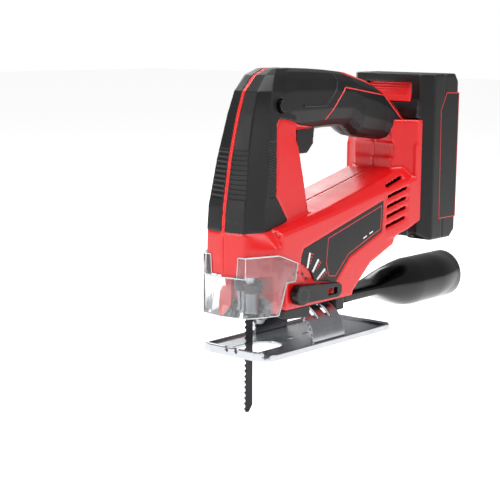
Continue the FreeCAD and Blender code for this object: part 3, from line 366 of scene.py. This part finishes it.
def inset(outline, amount):
    """Outline of (x, z) points moved inwards by a constant amount."""
    count = len(outline)
    area = sum(outline[i][0] * outline[(i + 1) % count][1] - outline[(i + 1) % count][0] * outline[i][1]
               for i in range(count))
    hand = 1 if area > 0 else -1
    moved = []
    for i in range(count):
        before, here, after = Vector(outline[i - 1]), Vector(outline[i]), Vector(outline[(i + 1) % count])
        a, b = (here - before).normalized(), (after - here).normalized()
        inner_a, inner_b = Vector((-a.y, a.x)) * hand, Vector((-b.y, b.x)) * hand
        middle = (inner_a + inner_b).normalized()
        moved.append(tuple(here + middle * (amount / max(0.35, middle.dot(inner_a)))))
    return moved


def side_strip(name, outer, inner, face_mm, thick_mm, side, material):
    """Flat band between two outlines of (x, z) on one side of the tool; face_mm is its outer face."""
    shape = bmesh.new()
    levels = []
    for depth in (face_mm - thick_mm, face_mm):
        levels.append([[shape.verts.new((x * MM, side * depth * MM, z * MM)) for x, z in ring]
                       for ring in (outer, inner)])
    count = len(outer)
    for i in range(count):
        j = (i + 1) % count
        for level in levels:
            shape.faces.new((level[0][i], level[0][j], level[1][j], level[1][i]))
        for ring in (0, 1):
            shape.faces.new((levels[0][ring][i], levels[0][ring][j], levels[1][ring][j], levels[1][ring][i]))
    bmesh.ops.recalc_face_normals(shape, faces=shape.faces)
    data = bpy.data.meshes.new(name)
    shape.to_mesh(data)
    shape.free()
    return plain_piece(name, data, material)


def side_plates(name, outlines, face_mm, thick_mm, side, material):
    """Flat plates of (x, z) outlines on one side of the tool."""
    shape = bmesh.new()
    for outline in outlines:
        rings = [[shape.verts.new((x * MM, side * depth * MM, z * MM)) for x, z in outline]
                 for depth in (face_mm - thick_mm, face_mm)]
        for ring in rings:
            shape.faces.new(ring)
        for i in range(len(outline)):
            j = (i + 1) % len(outline)
            shape.faces.new((rings[0][i], rings[0][j], rings[1][j], rings[1][i]))
    bmesh.ops.recalc_face_normals(shape, faces=shape.faces)
    data = bpy.data.meshes.new(name)
    shape.to_mesh(data)
    shape.free()
    return plain_piece(name, data, material)


def fixed_to(piece, body):
    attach(piece, body)
    return piece


for side, sign in (("left", -1), ("right", 1)):
    plate = frame["nodes"][side + "_label"]
    plate.data.materials.clear()
    plate.data.materials.append(label_film)
    border = inset([(50, 80.6), (117.6, 98.6), (116.8, 79.2), (76, 64.7), (60, 50), (51, 51.5), (48, 62)], 0.6)
    fixed_to(side_strip(side + "_label_border", border, inset(border, 0.7), LABEL_FACE + 0.06, 0.3, sign, label_red),
             "housing")
    dashes = [[(x, z), (x + 4.4, z + 1.45), (x + 4.2, z + 2.35), (x - 0.2, z + 0.9)]
              for x, z in ((94, 74.6), (101.5, 77.1))]
    fixed_to(side_plates(side + "_label_dashes", dashes, LABEL_FACE + 0.06, 0.3, sign, print_white),
             "housing")

# ---- Every other CAD piece keeps its shape and takes its own finish ------------------------------
# Plated steel, die-cast zinc, bronze bushes, brass contacts, magnets, wound copper and plain mouldings.


def metal(name, shade, second_shade, rough, scratch_mm, stretch=(1, 1, 1), depth_mm=0.01, metallic=1.0):
    """Metal with fine scratches drawn out along one direction and a patchy polish."""
    material, tree, place = new_material(name)
    drawn = add_node(tree, "ShaderNodeMapping", {"Vector": place, "Scale": stretch})
    scratches = add_node(tree, "ShaderNodeTexNoise", {"Vector": drawn.outputs[0], "Scale": 1 / (scratch_mm * MM),
                                                      "Detail": 4.0})
    patches = add_node(tree, "ShaderNodeTexNoise", {"Vector": place, "Scale": 90.0, "Detail": 2.0})
    tint = add_node(tree, "ShaderNodeMix", {0: patches.outputs[0], 6: linear(shade), 7: linear(second_shade)},
                    data_type="RGBA")
    gloss = add_node(tree, "ShaderNodeMapRange", {"Value": scratches.outputs[0], "From Min": 0.3, "From Max": 0.7,
                                                  "To Min": rough * 0.7, "To Max": rough * 1.35})
    bump = add_node(tree, "ShaderNodeBump", {"Height": scratches.outputs[0], "Strength": 0.35,
                                             "Distance": depth_mm * MM})
    shader = add_node(tree, "ShaderNodeBsdfPrincipled", {
        "Base Color": tint.outputs[2], "Roughness": gloss.outputs[0], "Normal": bump.outputs[0],
        "Metallic": metallic})
    add_node(tree, "ShaderNodeOutputMaterial", {"Surface": shader.outputs[0]})
    return material


bright_zinc = metal("bright_zinc", "#B9BCC0", "#A6A9AE", 0.24, 0.5, (1, 8, 8))
turned_steel = metal("turned_steel", "#B9BBBF", "#A9ACB0", 0.28, 0.4, (1, 1, 6))
die_cast = metal("die_cast_zinc", "#9A9CA0", "#86898D", 0.45, 0.9, depth_mm=0.03)
sintered_bronze = metal("sintered_bronze", "#A87A45", "#8E6538", 0.42, 0.6)
bright_brass = metal("bright_brass", "#D9B25C", "#C9A04E", 0.25, 0.5)
copper_winding = metal("copper_winding", "#A95B35", "#8C4527", 0.35, 0.6, (1, 12, 12))
black_oxide = metal("black_oxide", "#1B1B1E", "#242428", 0.38, 0.5, (1, 1, 9), metallic=0.6)
ferrite = moulded("ferrite", "#2A2A2D", "#333337", 0.7, 0.8, 0.03)
black_plastic = moulded("black_plastic", "#050506", "#08080A", 0.34, 0.6, 0.012, edge=0.3, edge_shade="#45454B",
                        **{"Specular IOR Level": 0.3})
board_lacquer = moulded("board_lacquer", "#12502B", "#0E4424", 0.3, 1.2, 0.02)
cell_sleeve = moulded("cell_sleeve", "#2C6BA0", "#275F91", 0.28, 1.5, 0.01)

CARRIED = {
    "gear_case": die_cast, "gear_axle": turned_steel, "lower_bush": sintered_bronze, "upper_bush": sintered_bronze,
    "drive_gear": turned_steel, "motor_can": bright_zinc, "motor_end_cap": black_plastic,
    "front_bearing": turned_steel, "rear_bearing": turned_steel, "motor_magnets": ferrite,
    "carbon_brushes": ferrite, "armature": copper_winding, "cooling_fan": black_plastic, "pinion": turned_steel,
    "plunger": turned_steel, "clamp_body": die_cast, "clamp_collar": black_plastic, "clamp_spring": turned_steel,
    "saw_blade": black_oxide, "roller_fork": die_cast, "roller_pin": turned_steel, "guide_roller": bright_zinc,
    "fork_pin": turned_steel, "switch_body": black_plastic, "trigger_spring": turned_steel,
    "lock_spring": turned_steel, "control_board": board_lacquer, "board_carrier": black_plastic,
    "battery_rail": black_plastic, "battery_terminals": bright_brass, "release_spring": turned_steel,
    "battery_cells": cell_sleeve, "cell_holder": black_plastic, "battery_contacts": bright_brass,
    "clamp_plate": bright_zinc, "base_screws": bright_zinc, "seat_nuts": turned_steel,
    "housing_screws": turned_steel,
}
for node, finish in CARRIED.items():
    slots = frame["nodes"][node].data.materials
    slots.clear()
    slots.append(finish)

# ---- Orbital lever: black nylon arm on the left side ---------------------------------------------
# A moulded arm with a round boss on its pivot. Its ring and the oval finger hole near the tip are
# moulded in; the arm sweeps over a printed scale.


def bevelled_copy(name, node, material, width_mm, segments=2, angle=28):
    """Copy of a CAD node with its flat facets joined and its edges rounded."""
    piece = plain_piece(name, merged_copy([node]), material)
    shape = bmesh.new()
    shape.from_mesh(piece.data)
    bmesh.ops.dissolve_limit(shape, angle_limit=math.radians(1), verts=shape.verts, edges=shape.edges)
    shape.to_mesh(piece.data)
    shape.free()
    bevel = piece.modifiers.new("edges", "BEVEL")
    bevel.width, bevel.segments, bevel.limit_method = width_mm * MM, segments, "ANGLE"
    bevel.angle_limit, bevel.harden_normals = math.radians(angle), True
    piece.data.shade_smooth()
    graph = bpy.context.evaluated_depsgraph_get()
    data = bpy.data.meshes.new_from_object(piece.evaluated_get(graph), depsgraph=graph)
    piece.modifiers.clear()
    piece.data = data
    data.materials.clear()
    data.materials.append(material)
    return stands_for(piece, node)


def turned(name, profile, centre, axis, material, steps=64):
    """Surface of revolution: profile of (radius, height) in mm round an axis through the centre."""
    shape = bmesh.new()
    spin = Vector((0, 0, 1)).rotation_difference(Vector(axis)).to_matrix().to_4x4()
    spin = Matrix.Translation(Vector(centre) * MM) @ spin
    rings = []
    for radius, height in profile:
        if radius < 1e-6:
            rings.append([shape.verts.new(spin @ Vector((0, 0, height * MM)))])
        else:
            rings.append([shape.verts.new(spin @ Vector((radius * MM * math.cos(2 * math.pi * k / steps),
                                                         radius * MM * math.sin(2 * math.pi * k / steps),
                                                         height * MM))) for k in range(steps)])
    closed = profile[0][0] > 1e-6
    pairs = list(zip(rings, rings[1:])) + ([(rings[-1], rings[0])] if closed else [])
    for a, b in pairs:
        for k in range(steps):
            j = (k + 1) % steps
            if len(a) == 1:
                shape.faces.new((a[0], b[j], b[k]))
            elif len(b) == 1:
                shape.faces.new((a[k], a[j], b[0]))
            else:
                shape.faces.new((a[k], a[j], b[j], b[k]))
    bmesh.ops.recalc_face_normals(shape, faces=shape.faces)
    data = bpy.data.meshes.new(name)
    shape.to_mesh(data)
    shape.free()
    data.shade_smooth()
    return plain_piece(name, data, material)


lever_nylon = moulded("lever_nylon", "#060607", "#09090A", 0.32, 0.6, 0.012, edge=0.45, edge_shade="#55555C",
                      **{"Specular IOR Level": 0.3})
stands_for(rounded_skin("lever", ["orbital_lever"], lever_nylon, 0.4, 4), "orbital_lever")
ring = [(5.4, 6.9), (5.4, 7.3), (5.0, 7.5), (4.5, 7.5), (4.1, 7.3), (4.1, 6.9)]
fixed_to(turned("lever_ring", [(r, h + 30.6) for r, h in ring], (DIAL_X, 0, DIAL_Z), (0, -1, 0), lever_nylon),
         "lever")

SCALE_FACE = 31.0
bars, hatches = [], []
for (x0, z0), (x1, z1) in (((25.8, 61.4), (28.6, 72.1)), ((32.0, 58.2), (38.8, 66.5)), ((37.5, 52.1), (46.8, 58.7))):
    run = Vector((x1 - x0, z1 - z0))
    wide = Vector((run.y, -run.x)).normalized() * 1.9
    bars.append([(x0, z0), (x0 + wide.x, z0 + wide.y), (x1 + wide.x, z1 + wide.y), (x1, z1)])
    for share in (0.3, 0.5, 0.7, 0.9):
        start = Vector((x0, z0)) + run * share + wide * 1.3
        reach = wide * (0.5 + 1.1 * share)
        step = run.normalized() * 0.9
        hatches.append([tuple(start), tuple(start + reach), tuple(start + reach + step), tuple(start + step)])
fixed_to(side_plates("scale_bars", bars, SCALE_FACE, 0.3, -1, print_white), "housing")
fixed_to(side_plates("scale_hatches", hatches, SCALE_FACE, 0.3, -1, label_red), "housing")
dots = []
for degrees in (40, 62, 84, 106):
    x, z = DIAL_X + 15.5 * math.cos(math.radians(degrees)), DIAL_Z + 15.5 * math.sin(math.radians(degrees))
    dots.append([(x + 0.9 * math.cos(k * math.pi / 6), z + 0.9 * math.sin(k * math.pi / 6)) for k in range(12)])
fixed_to(side_plates("scale_detents", dots, SCALE_FACE + 0.03, 0.3, -1, label_film), "housing")

# ---- Trigger and lock button: glass-filled nylon -------------------------------------------------
# The trigger's finger face is rounded; the round lock button stands out of the left grip.
stands_for(rounded_skin("trigger_lever", ["trigger"], lever_nylon, 0.5, 4), "trigger")
stands_for(rounded_skin("lock_cap", ["lock_button"], lever_nylon, 0.35, 4), "lock_button")

# ---- Battery: black case on a rail, with the red release button on its sloping front -------------
# Two moulded halves with bevelled corners. Each side carries a plain panel with a thin red outline.
case_plastic = moulded("case_plastic", "#060607", "#09090A", 0.34, 0.7, 0.015, edge=0.45, edge_shade="#5A5A60",
                       **{"Specular IOR Level": 0.32})
panel_black = moulded("panel_black", "#020203", "#040405", 0.22, 0.9, 0.006, **{"Specular IOR Level": 0.25})
button_red = moulded("button_red", "#D4070D", "#DC0C12", 0.34, 0.5, 0.012, edge=0.4, edge_shade="#FF4038")
for node in ("battery_front_case", "battery_rear_case"):
    stands_for(rounded_skin(node + "_skin", [node], case_plastic, 0.85, 4), node)
button = rounded_skin("release_pad", ["release_button"], button_red, 0.4, 2)
rib(button, button_red, 2.0, 0.45, (100, -17, 178), (200, 17, 188), (0, 0, 1), (-1, 0, 0.3))
stands_for(button, "release_button")
PANEL = [(192, 180.5), (210, 180), (209, 81), (185, 81), (184, 167)]
for side, sign in (("left", -1), ("right", 1)):
    fixed_to(side_plates(side + "_battery_panel", [inset(PANEL, 0.5)], 38.04, 0.4, sign, panel_black),
             "battery")
    fixed_to(side_strip(side + "_battery_outline", PANEL, inset(PANEL, 0.8), 38.1, 0.5, sign, label_red),
             "battery")

# ---- Sole plate and its bracket: pressed steel, bright zinc plated -------------------------------
# The shoe has a raised rim; the bracket is a half tube with a toothed front edge that locks the bevel.
stands_for(rounded_skin("sole_shoe", ["sole_plate"], bright_zinc, 0.6, 2), "sole_plate")
stands_for(rounded_skin("bracket_arc", ["tilt_bracket"], bright_zinc, 0.45, 2), "tilt_bracket")


def teeth_tree():
    """Square teeth round an arc about a line along X, pointing forwards."""
    tree = bpy.data.node_groups.new("bevel_teeth", "GeometryNodeTree")
    sockets = {}
    for label, kind in (("Radius", "NodeSocketFloat"), ("Count", "NodeSocketInt"), ("Centre", "NodeSocketVector"),
                        ("Tooth", "NodeSocketVector"), ("Lowest", "NodeSocketFloat"),
                        ("Finish", "NodeSocketMaterial")):
        sockets[label] = tree.interface.new_socket(label, in_out="INPUT", socket_type=kind).identifier
    tree.interface.new_socket("Geometry", in_out="OUTPUT", socket_type="NodeSocketGeometry")
    given = add_node(tree, "NodeGroupInput").outputs
    circle = add_node(tree, "GeometryNodeMeshCircle", {"Vertices": given["Count"], "Radius": given["Radius"]})
    upright = add_node(tree, "GeometryNodeTransform", {"Geometry": circle.outputs[0], "Translation": given["Centre"],
                                                       "Rotation": (0.0, math.pi / 2, 0.0)})
    place = add_node(tree, "GeometryNodeInputPosition").outputs[0]
    height = add_node(tree, "ShaderNodeSeparateXYZ", {0: place}).outputs["Z"]
    kept = add_node(tree, "ShaderNodeMath", {0: height, 1: given["Lowest"]}, operation="GREATER_THAN")
    spoke = add_node(tree, "ShaderNodeVectorMath", {0: place, 1: given["Centre"]}, operation="SUBTRACT")
    aim = add_node(tree, "FunctionNodeAlignRotationToVector", {"Vector": spoke.outputs[0]}, axis="Z", pivot_axis="X")
    tooth = add_node(tree, "GeometryNodeMeshCube", {"Size": given["Tooth"]})
    row = add_node(tree, "GeometryNodeInstanceOnPoints", {
        "Points": upright.outputs[0], "Selection": kept.outputs[0], "Instance": tooth.outputs[0],
        "Rotation": aim.outputs[0]})
    whole = add_node(tree, "GeometryNodeRealizeInstances", {"Geometry": row.outputs[0]})
    coated = add_node(tree, "GeometryNodeSetMaterial", {"Geometry": whole.outputs[0], "Material": given["Finish"]})
    add_node(tree, "NodeGroupOutput", {"Geometry": coated.outputs[0]})
    return tree, sockets


tooth_tree, tooth_sockets = teeth_tree()
teeth = plain_piece("bevel_teeth", bpy.data.meshes.new("bevel_teeth"))
field = teeth.modifiers.new("teeth", "NODES")
field.node_group = tooth_tree
bracket_low, bracket_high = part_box("tilt_bracket")
TILT_AXIS_Z, SHEET_HALF, TOOTH_REACH = 2.0 * MM, 1.25 * MM, 0.6 * MM
for label, value in (("Radius", bracket_high.z - TILT_AXIS_Z - SHEET_HALF), ("Count", 44),
                     ("Centre", (bracket_low.x - TOOTH_REACH, 0.0, TILT_AXIS_Z)),
                     ("Tooth", (2.2 * MM, 2.2 * MM, 2.1 * MM)), ("Lowest", 6.0 * MM), ("Finish", bright_zinc)):
    field[tooth_sockets[label]] = value
settle(teeth).data.shade_flat()
fixed_to(teeth, "sole")

# ---- Foot seat: black moulding that joins sole, gearbox and dust tube ----------------------------
stands_for(rounded_skin("seat_block", ["foot_seat"], black_plastic, 0.6, 3), "foot_seat")

# ---- Dust tube: glossy black pipe for a vacuum hose ----------------------------------------------
# Blow-moulded: a flat duct that widens into a cone and a round socket.
tube_gloss = moulded("tube_gloss", "#020203", "#030304", 0.15, 1.5, 0.006, **{"Specular IOR Level": 0.28})
DUCT = [(84.5, 12, 26.25, 4.75, 0.5), (100, 12, 26.25, 4.75, 0.5), (120, 12, 26.25, 4.75, 0.52),
        (141, 12, 26.25, 4.75, 0.6), (152, 13.6, 25.8, 7.6, 0.7), (164, 15.5, 25.4, 12, 0.8),
        (174, 17.0, 25.0, 15.0, 0.88), (184, 18.4, 24.6, 17.8, 0.95), (196, 19.5, 24.6, 19.5, 1.0),
        (198, 19.5, 24.6, 19.5, 1.0), (224, 19.5, 24.6, 19.5, 1.0), (251.2, 19.5, 24.6, 19.5, 1.0),
        (252, 18.9, 24.6, 18.9, 1.0)]
TUBE_STEPS = 72


def duct_skin():
    shape = bmesh.new()
    rings = []
    for wall in (0.0, 2.0):
        for x, half_y, z, half_z, bow in (DUCT if wall == 0 else reversed(DUCT)):
            ring = []
            for k in range(TUBE_STEPS):
                c, s = math.cos(2 * math.pi * k / TUBE_STEPS), math.sin(2 * math.pi * k / TUBE_STEPS)
                thin = wall if wall == 0 else (1.4 if x > 251.5 else 2.0)
                ring.append(shape.verts.new((x * MM, (half_y - thin) * MM * math.copysign(abs(c) ** bow, c),
                                             (z + (half_z - thin) * math.copysign(abs(s) ** bow, s)) * MM)))
            rings.append(ring)
    for a, b in zip(rings, rings[1:] + rings[:1]):
        for k in range(TUBE_STEPS):
            j = (k + 1) % TUBE_STEPS
            shape.faces.new((a[k], a[j], b[j], b[k]))
    bmesh.ops.recalc_face_normals(shape, faces=shape.faces)
    data = bpy.data.meshes.new("dust_pipe")
    shape.to_mesh(data)
    shape.free()
    data.shade_smooth()
    return plain_piece("dust_pipe", data, tube_gloss)


stands_for(duct_skin(), "dust_tube")


# ---- Blade guard: clear polycarbonate shield over the nose ---------------------------------------
# Injection-moulded, 1.4 mm thick, with polished faces. Its bright edges are a painted highlight: a pale bead laid
# along each sharp edge.
def clear_shield():
    """Polished polycarbonate: refracts at its edges, faintly hazed by fine scratches."""
    material, tree, place = new_material("clear_polycarbonate")
    haze = add_node(tree, "ShaderNodeTexNoise", {"Vector": place, "Scale": 700.0, "Detail": 4.0})
    gloss = add_node(tree, "ShaderNodeMapRange", {"Value": haze.outputs[0], "From Min": 0.3, "From Max": 0.7,
                                                  "To Min": 0.03, "To Max": 0.10})
    shader = add_node(tree, "ShaderNodeBsdfPrincipled", {
        "Base Color": linear("#F4F8FA"), "Roughness": gloss.outputs[0], "IOR": 1.45,
        "Transmission Weight": 0.96})
    add_node(tree, "ShaderNodeOutputMaterial", {"Surface": shader.outputs[0]})
    return material


GUARD_TURN_X, GUARD_REACH = -0.007, 0.68
guard_finish = clear_shield()
guard = bevelled_copy("guard_shield", "blade_guard", guard_finish, 0.35)


def draw_in(data):
    """Bring the rear ends of the side flanges forward to where the clips sit."""
    for point in data.vertices:
        if point.co.x > GUARD_TURN_X:
            point.co.x = GUARD_TURN_X + (point.co.x - GUARD_TURN_X) * GUARD_REACH


def bead_tree():
    """Round bead along every edge of a mesh."""
    tree = bpy.data.node_groups.new("edge_bead", "GeometryNodeTree")
    sockets = {}
    for label, kind in (("Geometry", "NodeSocketGeometry"), ("Radius", "NodeSocketFloat"),
                        ("Finish", "NodeSocketMaterial")):
        sockets[label] = tree.interface.new_socket(label, in_out="INPUT", socket_type=kind).identifier
    tree.interface.new_socket("Geometry", in_out="OUTPUT", socket_type="NodeSocketGeometry")
    given = add_node(tree, "NodeGroupInput").outputs
    lines = add_node(tree, "GeometryNodeMeshToCurve", {"Mesh": given["Geometry"]})
    ring = add_node(tree, "GeometryNodeCurvePrimitiveCircle", {"Resolution": 8, "Radius": given["Radius"]})
    bead = add_node(tree, "GeometryNodeCurveToMesh", {"Curve": lines.outputs[0], "Profile Curve": ring.outputs[0],
                                                      "Fill Caps": True})
    whole = add_node(tree, "GeometryNodeRealizeInstances", {"Geometry": bead.outputs[0]})
    coated = add_node(tree, "GeometryNodeSetMaterial", {"Geometry": whole.outputs[0], "Material": given["Finish"]})
    add_node(tree, "NodeGroupOutput", {"Geometry": coated.outputs[0]})
    return tree, sockets


def edge_cage():
    """The guard's sharp edges alone."""
    shape = bmesh.new()
    shape.from_mesh(merged_copy(["blade_guard"]))
    bmesh.ops.dissolve_limit(shape, angle_limit=math.radians(1), verts=shape.verts, edges=shape.edges)
    dull = [edge for edge in shape.edges if edge.calc_face_angle(0) < math.radians(50)]
    bmesh.ops.delete(shape, geom=dull, context="EDGES_FACES")
    bmesh.ops.delete(shape, geom=list(shape.faces), context="FACES_ONLY")
    data = bpy.data.meshes.new("guard_painted_edge_highlight")
    shape.to_mesh(data)
    shape.free()
    return data


draw_in(guard.data)
# Painted highlight: a pale, half-clear bead along every sharp edge of the guard stands in for the light that the
# clear edges catch.
painted_edge_highlight = moulded("clear_edge_painted_highlight", "#F4F7F9", "#E9EEF1", 0.25, 0.9, 0.004, **{"Transmission Weight": 0.35})
highlight_rim = plain_piece("guard_painted_edge_highlight", edge_cage())
draw_in(highlight_rim.data)
bead_group, bead_sockets = bead_tree()
bead = highlight_rim.modifiers.new("bead", "NODES")
bead.node_group = bead_group
bead[bead_sockets["Radius"]], bead[bead_sockets["Finish"]] = 0.00032, painted_edge_highlight
settle(highlight_rim)
fixed_to(highlight_rim, "guard")
